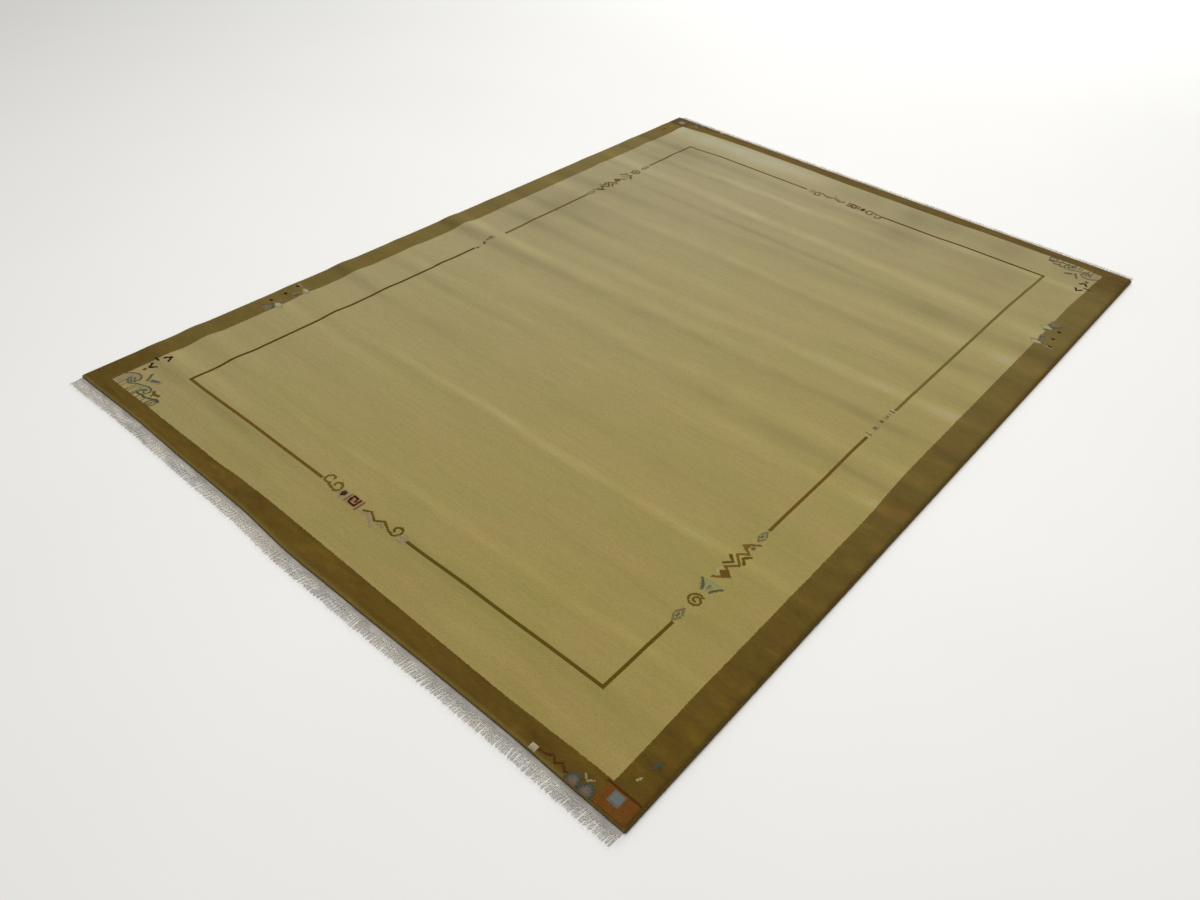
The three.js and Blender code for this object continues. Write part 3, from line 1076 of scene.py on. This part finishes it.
def wave_curls(pen):
    pen.patch("haze", [(4, 1), (24, 3), (44, 14), (44, 22), (30, 24), (5, 22)])
    pen.patch("haze", [(36, 20), (49, 22), (50, 42), (38, 46)])
    pen.patch("pale_blue", [(22, 30), (30, 27), (32, 44), (24, 46)])
    pen.patch("pale_green", [(26, 70), (36, 72), (40, 90), (34, 95), (24, 82)])
    for line in HATCH:
        ends = [(1.5, line["across"]), (line["reach"], line["across"] + 1)]
        pen.stroke(line["yarn"], HATCH_WIDTH, ends)
    first = [
        (25, -8), (40, 6), (48, 15), (53, 27), (52, 38), (46, 46), (40, 49), (34, 46), (33, 40), (39, 33),
    ]
    pen.stroke("teal", 4.2, bend(first))
    second = [
        (34, 23), (25, 27), (19, 38), (22, 47), (27, 52), (30, 58), (33, 66), (38, 80), (41, 90), (41, 99),
        (36, 106), (28, 108), (21, 104), (22, 97), (28, 93), (31, 97),
    ]
    pen.stroke("slate", 4.2, bend(second))
    pen.stroke("slate", 4.8, bend([(10, 84), (20, 86), (28, 90), (32, 97)]))
    third = [
        (13, 88), (12, 95), (14, 105), (13, 115), (16, 124), (20, 134), (24, 140), (26, 148), (24, 156),
    ]
    pen.stroke("deep_teal", 5, bend(third))
    pen.stroke("slate", 4, bend([(31, 47), (26, 41), (27, 34), (34, 28)]))
    pen.stroke("teal", 4, arc((11, 147), 10.5, 345))
    pen.stroke("slate", 4, [(5, 147), (16, 147)])
    pen.stroke("haze", 14, [(59, 71), (67, 89)])
    pen.stroke("slate", 7.4, [(59.5, 72), (66.5, 88)])
    pen.stroke("slate", 5.4, [(52, 63), (62, 57), (73, 49)])
    pen.stroke("olive", 7, [(37, 136), (33, 124), (39, 113)])
    pen.stroke("olive", 5.4, [(27, 122), (34, 123)])
    pen.patch("gold", oval((72, 17), 4.6, 5.6))
    pen.stroke("dark_brown", 5.8, [(96, 29), (83, 18), (97, 8)])
    pen.stroke("dark_brown", 5.8, [(127, 29), (141, 20), (128, 9.5)])
    pen.stroke("dark_brown", 4.6, [(112, 8), (112, -6)])


# %% Peaks and lozenges across the edge of the side border
def peaks_and_lozenges(pen):
    pen.patch("grey_lilac", [(-689, 4), (-682, 31), (-673, 34), (-662, 20), (-657, 4)])
    pen.patch("grey_lilac", [(-606, 6), (-599, 23), (-588, 28), (-574, 10)])
    pen.stroke("slate", 4.4, [(-677, 33), (-666, 26), (-660, 16), (-655, 22)])
    pen.stroke("slate", 4.4, [(-668, 3), (-660, 12)])
    pen.stroke("slate", 4.6, [(-638, 12), (-634, 4)])
    pen.stroke("grey_lilac", 5, [(-640, 20), (-630, 12), (-622, 14)])
    pen.stroke("slate", 4.6, [(-600, 18), (-592, 9), (-584, 14)])
    pen.stroke("grey_lilac", 5, [(-558, 26), (-546, 14)])
    pen.stroke("blush", 4, [(-556, 32), (-554, 52)])
    pen.patch("sage", lozenge((-649, 3), 12, 18))
    pen.patch("cream", oval((-648.5, 6), 6, 12))
    pen.patch("haze", oval((-565, 3), 9, 11))
    pen.patch("cream", oval((-560, 12), 4.6, 11))
    for along, out in ((-648, 38), (-603.5, 38), (-561, 45)):
        pen.dot("dark_brown", (along, out), 4.6)


# %% Square, zigzag, half suns and corner block in the end border
HALF_SUN_MIDDLES = (50, 21.5)
HALF_SUN_FOOT = 51
HALF_SUN_RINGS = table(
    "yarn width depth",
    ("deep_teal", 15.6, 25),
    ("slate", 12.4, 21.5),
    ("sun_grey", 9.6, 18),
    ("sun_rose", 6, 13.5),
)


def end_border_figures(pen):
    pen.block("cream", (131, 36.5), (145, 51))
    zigzag = [(128, 38), (114, 36.5), (102, 30), (92, 38.5), (81, 30.5), (71, 38), (61, 37)]
    pen.stroke("dark_rust", 3.8, zigzag)
    for middle in HALF_SUN_MIDDLES:
        for ring in HALF_SUN_RINGS:
            half_ring = arc((0, 0), 1, 180)
            outline = [(middle + s * ring["width"], HALF_SUN_FOOT - t * ring["depth"]) for s, t in half_ring]
            pen.patch(ring["yarn"], outline)
    pen.stroke("worn_cream", 3, [(41.5, 20.5), (32.5, 27.5), (23, 20.5)])
    pen.block("corner_rust", (5, 6), (-76, 50))
    pen.stroke("dark_rust", 3.4, [(8, 5), (-74, 5)])
    pen.block("sun_grey", (-11, 10.5), (-38, 30))
    pen.block("sky", (-14, 13), (-35, 27.5))
    pen.stroke("worn_cream", 4.4, [(-29, -26.5), (-32, -33)])
    pen.stroke("deep_teal", 7.4, [(-36, -64), (-39.5, -79)])


print("figures ready")


# %% Draw the whole chart
def near_line(s, t):
    return s, t - LINE_ALONG


def right_line(s, t):
    return LINE_ACROSS - t, s


def left_border(s, t):
    return -BORDER_ACROSS - t, s


def near_left_corner(s, t):
    return t - BORDER_ACROSS, s - BORDER_ALONG


def near_right_corner(s, t):
    return BORDER_ACROSS - s, -BORDER_ALONG - t


def half_turned(place, slip=0, rise=0):
    """The same place in the second half of the rug, where a figure may stand a little further on."""
    return lambda s, t: tuple(-part for part in place(s + slip, t + rise))


def row_of_dots_again(pen):
    pen.patch("haze", oval((8, -5), 14, 8))
    pen.dot("mauve", (11, -7), 5.4)
    pen.dot("mauve", (25, -6), 3.4)
    pen.stroke("olive_worn", 7, [(39, -4), (46, 2)])
    pen.stroke("haze", 4, [(57, -4), (63, 4)])
    pen.dot("mauve", (74, 4), 5.2)


# Stretches of the frame line between the ornaments: where each starts and ends, and its yarn
NEAR_LINE_RUNS = [(-LINE_ACROSS, -137.5, "rust"), (141, LINE_ACROSS, "olive")]
RIGHT_LINE_RUNS = [
    (-LINE_ALONG, -785, "olive"), (-456.5, -69, "rust"), (-69, -53, "olive"),
    (88.5, LINE_ALONG, "olive_pale"),
]
# The muted yarns of the far and left runs are painted light: the paleness that grazing light gives the far
# end and the left side
FAR_LINE_RUNS = [(-LINE_ACROSS, -127, "rust_deep"), (161, LINE_ACROSS, "olive_worn")]
LEFT_LINE_RUNS = [
    (-LINE_ALONG, -751, "olive_worn"), (-417, -48, "rust_worn"), (86, LINE_ALONG, "olive_deep"),
]

chart = {}
for place_of_line, runs in (
    (near_line, NEAR_LINE_RUNS),
    (right_line, RIGHT_LINE_RUNS),
    (half_turned(near_line), FAR_LINE_RUNS),
    (half_turned(right_line), LEFT_LINE_RUNS),
):
    for start, end, yarn in runs:
        edge = LINE_WIDTH / 2
        Pen(chart, place_of_line).block(yarn, (start - edge, -edge), (end + edge, edge))
# The far half of the rug repeats its figures in paler, duller yarns. Their paleness is painted light: the
# pale, cool look that grazing light gives the far half
muted_yarns = {
    "olive": "olive_worn",
    "olive_light": "olive_worn",
    "rust": "rust_worn",
    "rust_light": "rust_worn",
    "maroon": "brown_worn",
    "pink": "blush",
    "dark_rust": "brown_worn",
    "corner_rust": "border_worn",
    "sky": "haze",
    "grey_blue": "grey_lilac",
}
for figure, place, slip, rise in (
    (scrolls_and_zigzag, near_line, 8, -1),
    (lozenges_spiral_and_zigzag, right_line, 44, -1),
    (peaks_and_lozenges, left_border, -62, -9),
    (wave_curls, near_left_corner, -2, 1),
    (end_border_figures, near_right_corner, 0, 0),
):
    figure(Pen(chart, place))
    figure(Pen(chart, half_turned(place, slip, rise), muted_yarns))
row_of_dots(Pen(chart, right_line))
row_of_dots_again(Pen(chart, half_turned(right_line)))

PATTERN_REACH = (HALF_WIDTH - 8, HALF_LENGTH - 1)
inside_cloth = {
    square: yarn
    for square, yarn in chart.items()
    if all(abs(count + 0.5) * KNOT < reach for count, reach in zip(square, PATTERN_REACH))
}
print(len(inside_cloth), "coloured knots")

# %% [markdown]
# ## Knots as tufts
# Each charted knot becomes one clipped tuft: a low block, wider below than above, that stands a little
# out of the pile. Its foot is wider than a knot, so that tufts side by side close up and no straw shows
# between them. Geometry Nodes stands one on every point, turns and scales each a little differently,
# and keeps a shade of its own for each. The tufts of one yarn are joined into one piece.

# %% A yarn for each name
YARNS = {
    "olive": (94, 75, 11),
    "olive_deep": (82, 64, 6),
    # The muted yarns are paler, duller copies, used mostly in the far half and on the left side, where their
    # paleness is painted light
    "olive_worn": (104, 86, 34),
    "olive_pale": (110, 96, 42),
    "olive_light": (103, 86, 22),
    "rust_light": (115, 88, 31),
    "rust": (107, 79, 20),
    "rust_deep": (84, 58, 4),
    "rust_worn": (106, 82, 32),
    "maroon": (60, 22, 0),
    "brown_worn": (70, 50, 16),
    "border_worn": (98, 80, 44),
    "purple": (60, 40, 21),
    "haze": (146, 132, 100),
    "sage": (136, 130, 86),
    "blush": (154, 129, 92),
    "pink": (146, 112, 78),
    "mauve": (112, 88, 58),
    "grey_lilac": (118, 104, 76),
    "grey_blue": (96, 94, 64),
    "grey_green": (115, 107, 74),
    "pale_blue": (140, 142, 110),
    "pale_green": (146, 140, 96),
    "slate": (85, 87, 63),
    "teal": (100, 88, 60),
    "deep_teal": (72, 73, 62),
    "sun_grey": (103, 99, 94),
    "sun_rose": (124, 98, 82),
    "sky": (108, 115, 112),
    "cream": (169, 159, 127),
    "worn_cream": (146, 138, 94),
    "gold": (98, 76, 8),
    "dark_brown": (40, 22, 0),
    "corner_rust": (111, 70, 23),
    "dark_rust": (80, 46, 4),
}


def yarn_finish(name, colour):
    """Dyed wool yarn: its own shade for each tuft, a fine fleck, and a fibre bump."""
    yarn = Finish(name, Roughness=0.9, Sheen_Weight=0.03, Sheen_Roughness=0.45, Specular_IOR_Level=0.1)
    place = yarn.object_place()
    fleck = yarn.noise(place, 1100, 2.0, 0.6)
    tuft_shade = yarn.attribute("shade", "Fac")
    yarn.drive("Base Color", yarn.shade(srgb(*colour), 0.82 + 0.2 * tuft_shade + 0.16 * fleck))
    yarn.drive("Normal", yarn.bump(yarn.noise(place, 2200, 3.0, 0.7), 0.2 * MM, 0.5))
    return yarn.material


# %% The recipe for tufts
EIGHTH_TURN = math.pi / 4

tufts = Recipe(
    "tufts",
    {"Foot": 2.1 * MM, "Head": 1.1 * MM, "Height": 0.6 * MM, "Turn": 0.15, "Seed": 1},
)
seed = tufts.value("Seed")
block = {
    "Vertices": 4,
    "Radius Top": tufts.value("Head"),
    "Radius Bottom": tufts.value("Foot"),
    "Depth": tufts.value("Height"),
}
tuft = tufts.add("GeometryNodeMeshCone", {"fill_type": "NGON"}, block)
swing = tufts.value("Turn") * tufts.chance(-1.0, 1.0, seed) + EIGHTH_TURN
size = tufts.chance(0.95, 1.08, seed + 1)
tall = tufts.chance(0.7, 1.25, seed + 2)
turn = tufts.vector(0.0, 0.0, swing)
stood = tufts.set_out(tufts.start, tuft, Rotation=turn, Scale=tufts.vector(size, size, tall))
shaded = tufts.keep_each(stood, "shade", tufts.chance(0.0, 1.0, seed + 3))
tufts.finish(shaded)
print("tufts recipe has", len(tufts.tree.nodes), "nodes")

# %% Stand a tuft on every charted knot
TUFT_SUNK = 0.12
SEEDS_PER_YARN = 10

for number, (yarn, colour) in enumerate(YARNS.items()):
    places = []
    for column, row in sorted(square for square, name in inside_cloth.items() if name == yarn):
        across, along = (column + 0.5) * KNOT, (row + 0.5) * KNOT
        x, y = laid(across, along)
        places.append((x * MM, y * MM, (pile_top(across, along) - TUFT_SUNK) * MM))
    values = {"Seed": SEEDS_PER_YARN * number, "Material": yarn_finish("yarn_" + yarn, colour)}
    start = points_mesh("knots_" + yarn, places)
    knots = new_piece("knots_" + yarn, run_recipe(tufts, "knots_" + yarn, start, values))
    print(f"{knots.name}: {len(places)} tufts, {triangles(knots)} triangles")

# %% [markdown]
# ## Overcast sides
# The long sides are finished by winding border wool round a cord, turn against turn, so that the edge
# wears well. A twisted tube with a striped bump would do from afar, but the side is looked at closely
# and low, where only real turns show their steps. Geometry Nodes walks along the side and sets one
# small ring at each step, leaning a little, as wound yarn does.

# %% The recipe for overcasting
winding = Recipe(
    "overcasting",
    {
        "Pitch": 2.7 * MM,
        "Across": 2.4 * MM,
        "Up": 2.1 * MM,
        "Yarn": 1.6 * MM,
        "Lean": 0.2,
        "Seed": 1,
    },
)
seed = winding.value("Seed")
path = winding.add("GeometryNodeMeshToCurve", None, {"Mesh": winding.start})
steps = {"Curve": path, "Length": winding.value("Pitch")}
steps = winding.add("GeometryNodeResampleCurve", {"mode": "LENGTH"}, steps)
ring_size = winding.vector(winding.value("Across"), winding.value("Up"), 1.0)
ring_line = {"Geometry": winding.circle(10, 1.0), "Scale": ring_size}
ring_line = winding.add("GeometryNodeTransform", None, ring_line)
yarn_section = winding.circle(4, winding.value("Yarn"))
ring = winding.add("GeometryNodeCurveToMesh", None, {"Curve": ring_line, "Profile Curve": yarn_section})
leaning = winding.value("Lean") * winding.chance(0.6, 1.4, seed)
thick = winding.chance(0.94, 1.06, seed + 1)
turn = winding.vector(math.pi / 2, 0.0, leaning)
wound = winding.set_out(steps, ring, Rotation=turn, Scale=winding.vector(thick, thick, 1.0))
shaded = winding.keep_each(wound, "shade", winding.chance(0.0, 1.0, seed + 2))
winding.finish(shaded)
print("overcasting recipe has", len(winding.tree.nodes), "nodes")


# %% Wind both sides
SIDE_CORD_INSET = 3.9
SIDE_CORD_HEIGHT = 3.7
SIDE_CORD_END_INSET = 2.5
SIDE_CORD_LEAN = 0.2
SIDE_POINTS_EVERY = 8
FIRST_CORD_SEED = 200


def side_line(side):
    """Middle line of the cord in a long side, from the near end to the far one."""
    count = round(2 * HALF_LENGTH / SIDE_POINTS_EVERY)
    points = []
    for i in range(count + 1):
        along = (i / count - 0.5) * 2 * (HALF_LENGTH - SIDE_CORD_END_INSET)
        x, y = laid(side * (HALF_WIDTH - SIDE_CORD_INSET), along)
        points.append((x * MM, y * MM, (lift(x, y) + SIDE_CORD_HEIGHT) * MM))
    return points, [(i, i + 1) for i in range(count)]


SIDE_BROWN = (92, 74, 36)
side_yarn = yarn_finish("yarn_side", SIDE_BROWN)
for side, name in ((-1, "side_cord_left"), (1, "side_cord_right")):
    points, edges = side_line(side)
    values = {"Seed": FIRST_CORD_SEED + side, "Lean": side * SIDE_CORD_LEAN, "Material": side_yarn}
    cord = new_piece(name, run_recipe(winding, name, points_mesh(name, points, edges), values))
    print(f"{name}: {triangles(cord)} triangles")

# %% [markdown]
# ## Flat-woven end bands
# Before and after the pile, a weaver makes a few rows of plain weave to lock the knots. It is a sheet
# under 3 mm thick: weft going over and under the warp. It could be a plane with a weave bump, but its
# edge is seen against the floor, so the threads are raised in the mesh. The weave is a rule, a cosine
# along the band whose phase flips from pick to pick, so mesh code with that formula is the short way.

# %% Cotton for band and fringe
COTTON = srgb(232, 228, 220)
COTTON_GREY = srgb(198, 193, 185)
COTTON_WARM = srgb(234, 226, 208)
BAND_SOILED = 0.62


def cotton_finish(name, fleck_scale, light):
    cotton = Finish(name, Roughness=0.88, Sheen_Weight=0.12, Sheen_Roughness=0.5, Specular_IOR_Level=0.25)
    place = cotton.object_place()
    soiling = cotton.noise(cotton.stretched(place, (1.0, 3.0, 1.0)), 22, 3.0, 0.6)
    colour = cotton.mix(cotton.ramp(soiling, 0.35, 0.7), COTTON_GREY, COTTON)
    warm = cotton.noise(place, 7, 2.0)
    colour = cotton.mix(0.5 * cotton.ramp(warm, 0.45, 0.7), colour, COTTON_WARM)
    fleck = cotton.noise(place, fleck_scale, 2.0, 0.6)
    cotton.drive("Base Color", cotton.shade(colour, light * (0.86 + 0.28 * fleck)))
    cotton.drive("Normal", cotton.bump(cotton.noise(place, 2600, 3.0, 0.7), 0.2 * MM, 0.5))
    return cotton.material


# %% Weave the bands
BAND_GAP = 0.1
PICK = 1.7
WEAVE_PERIOD = 4.8
POINTS_PER_WEAVE = 3
BAND_ROWS_PER_PICK = 3
BAND_LOW = 1.0


def band_mesh(name, end):
    picks = round(BAND_DEPTH / PICK)
    rows = picks * BAND_ROWS_PER_PICK
    columns = round(2 * BAND_REACH / WEAVE_PERIOD * POINTS_PER_WEAVE)
    points = []
    for r in range(rows + 1):
        pick, into = divmod(r, BAND_ROWS_PER_PICK)
        round_of_pick = math.sin(math.pi * into / BAND_ROWS_PER_PICK) if into else 0.0
        for c in range(columns + 1):
            x = end * (2 * BAND_REACH * c / columns - BAND_REACH)
            out = BAND_GAP + BAND_DEPTH * r / rows
            over = 0.5 + 0.5 * math.cos(2 * math.pi * x / WEAVE_PERIOD + math.pi * pick)
            z = BAND_LOW + (BAND_THICKNESS - BAND_LOW) * round_of_pick * (0.35 + 0.65 * over)
            points.append((x * MM, end * (end_at(x, end) + out) * MM, z * MM))
    faces = []
    width = columns + 1
    for r in range(rows):
        for c in range(columns):
            a = r * width + c
            faces.append((a, a + 1, a + width + 1, a + width))
    # Underside: the rims of the woven face set down on the floor and joined straight across
    under = len(points)
    last = rows * width
    for row_start in (0, last):
        points.extend((x, y, 0.0) for x, y, _ in points[row_start : row_start + width])
    for c in range(columns):
        inner, outer = under + c, under + width + c
        faces.append((inner, outer, outer + 1, inner + 1))
        faces.append((c + 1, c, inner, inner + 1))
        faces.append((last + c, last + c + 1, outer + 1, outer))
    left = [r * width for r in range(rows + 1)]
    right = [r * width + columns for r in range(rows + 1)]
    faces.append((*left, under + width, under))
    faces.append((*reversed(right), under + columns, under + width + columns))
    return smooth_mesh(name, points, faces)


band_cotton = cotton_finish("band_cotton", 900, BAND_SOILED)
bands = {}
for end, name in ((-1, "end_band_near"), (1, "end_band_far")):
    bands[end] = new_piece(name, band_mesh(name, end))
    bands[end].data.materials.append(band_cotton)
    print(f"{name}: {triangles(bands[end])} triangles")

# %% [markdown]
# ## The fringe
# The fringe is the warp itself: the ends that were tied to the loom, cut to a short length. Each strand
# is two plies twisted together. Hair curves could be used, but they don't export, so each ply is a thin
# tube. The strands leave the band level and lie on the floor, leaning together in slow waves as if
# brushed. The tree bends two straight lines for each strand by a formula and then gives them thickness.

# %% The recipe for strands: two lines at every root
strands = Recipe(
    "strands",
    {
        "Outward": 1.0,
        "Ply": 0.75 * MM,
        "Twist radius": 0.62 * MM,
        "Twists": 1.5,
        "Root height": 1.4 * MM,
        "Stray": 0.7 * MM,
        "Seed": 1,
    },
)
seed = strands.value("Seed")
plies = []
for ply in (0.0, 0.5):
    line = strands.add("GeometryNodeCurvePrimitiveLine", None, {"Start": (0, 0, 0), "End": (0, 1, 0)})
    line = strands.add("GeometryNodeResampleCurve", None, {"Curve": line, "Count": 9})
    factor = strands.add("GeometryNodeSplineParameter")
    line = strands.keep(line, "share", factor)
    plies.append(strands.keep(line, "ply", ply))
both = strands.add("GeometryNodeJoinGeometry")
for ply in plies:
    strands.plug(both.node.inputs["Geometry"], ply)
rooted = strands.set_out(strands.start, both)
root = strands.add("GeometryNodeInputPosition")
rooted = strands.keep_each(rooted, "root", root, "FLOAT_VECTOR")
rooted = strands.keep_each(rooted, "phase", strands.chance(0.0, 1.0, seed))
rooted = strands.keep_each(rooted, "stray", strands.chance(-1.0, 1.0, seed + 1))
lines = strands.add("GeometryNodeRealizeInstances", None, {"Geometry": rooted})
print("lines are rooted after", len(strands.tree.nodes), "nodes")

# %% Twist the plies and lay them down
share = strands.kept("share")
root_across, root_along = strands.x_and_y(strands.kept("root", "FLOAT_VECTOR"))
reach = strands.kept("reach") * share
twist = strands.value("Twists") * share
twist = 2 * math.pi * (twist + strands.kept("ply") + strands.kept("phase"))
opening = strands.value("Twist radius") * (1 + 0.9 * share * share)
sideways = strands.kept("lean") * share
stray = strands.value("Stray") * strands.kept("stray")
sideways = sideways + stray * strands.maths("SINE", 5 * share)
x = root_across + sideways + opening * strands.maths("COSINE", twist)
y = root_along + strands.value("Outward") * reach
resting = strands.value("Ply") + strands.value("Twist radius")
z = strands.value("Root height") + (resting - strands.value("Root height")) * share
z = z + opening * strands.maths("SINE", twist)
z = strands.maths("MAXIMUM", z, strands.value("Ply"))
bent = strands.add("GeometryNodeSetPosition", None, {0: lines, "Position": strands.vector(x, y, z)})
ply_section = strands.circle(4, strands.value("Ply"))
tubes = strands.add(
    "GeometryNodeCurveToMesh",
    None,
    {"Curve": bent, "Profile Curve": ply_section, "Scale": 1 - 0.3 * share, "Fill Caps": True},
)
strands.finish(tubes)
print("strands recipe has", len(strands.tree.nodes), "nodes")

# %% Lay out the strands
STRANDS_PER_END = 600
STRAND_LENGTH = 20.4
STRAND_LENGTH_SPREAD = 1.8
STRAND_LEAN = 3
STRAND_LEAN_TURN = 0.053
STRAND_ROOT_IN = 1.2
STRAND_PLACE_SPREAD = 0.5
STRAND_LEAN_SPREAD = 0.9
FRINGE_REACH = BAND_REACH - 1
STRAND_PITCH = 2 * FRINGE_REACH / STRANDS_PER_END
LOCK_SIZE = 2.6
LOCK_SIZE_SPREAD = 1.2
LOCK_PULL = 0.42
FIRST_STRAND_SEED = 300
# Kinds of unevenness, each with numbers of its own. The last one differs from end to end.
LENGTHS, LEANS, PLACES, LOCKS = 1, 2, 4, 6
SCATTER = {"per_strand": 12.9898, "per_kind": 78.233, "spread": 43758.5453}


def uneven(strand, kind):
    """A repeatable number from -1 to 1 that differs from strand to strand."""
    scattered = math.sin(strand * SCATTER["per_strand"] + kind * SCATTER["per_kind"]) * SCATTER["spread"]
    return 2 * (scattered - math.floor(scattered)) - 1


def lock_pulls(end):
    """How far each strand's tip leans toward the middle of its lock, where two to four cling."""
    pulls = []
    while len(pulls) < STRANDS_PER_END:
        size = round(LOCK_SIZE + LOCK_SIZE_SPREAD * uneven(len(pulls), LOCKS + end))
        pulls.extend(((size - 1) / 2 - i) * LOCK_PULL * STRAND_PITCH for i in range(size))
    return pulls[:STRANDS_PER_END]


fringe_cotton = cotton_finish("fringe_cotton", 1400, 1.0)
for end, name, node in (
    (-1, "fringe_strands_near", "fringe_near"),
    (1, "fringe_strands_far", "fringe_far"),
):
    roots, leans, reaches = [], [], []
    for i, pull in enumerate(lock_pulls(end)):
        x = end * ((i + 0.5) * STRAND_PITCH - FRINGE_REACH)
        x += STRAND_PLACE_SPREAD * uneven(i, PLACES)
        out = BAND_GAP + BAND_DEPTH - STRAND_ROOT_IN
        roots.append((x * MM, end * (end_at(x, end) + out) * MM, 0.0))
        wave = math.sin((i + STRANDS_PER_END * (end + 1)) * STRAND_LEAN_TURN)
        lean = pull + STRAND_LEAN * wave + STRAND_LEAN_SPREAD * uneven(i, LEANS)
        leans.append(end * lean * MM)
        length = STRAND_LENGTH + STRAND_LENGTH_SPREAD * uneven(i, LENGTHS) + STRAND_ROOT_IN
        reaches.append(length * MM)
    start = points_mesh(name, roots, lean=leans, reach=reaches)
    values = {"Outward": float(end), "Seed": FIRST_STRAND_SEED + end, "Material": fringe_cotton}
    new_piece(name, run_recipe(strands, name, start, values))
    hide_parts(node)

# %% [markdown]
# ## The cloth pieces
# The pile cloth and the two bands are cloth cut and woven to a size. The side cords and knots go with
# the cloth, and each fringe with its band.

print("sheets:", rug_pile.name, *(band.name for band in bands.values()))
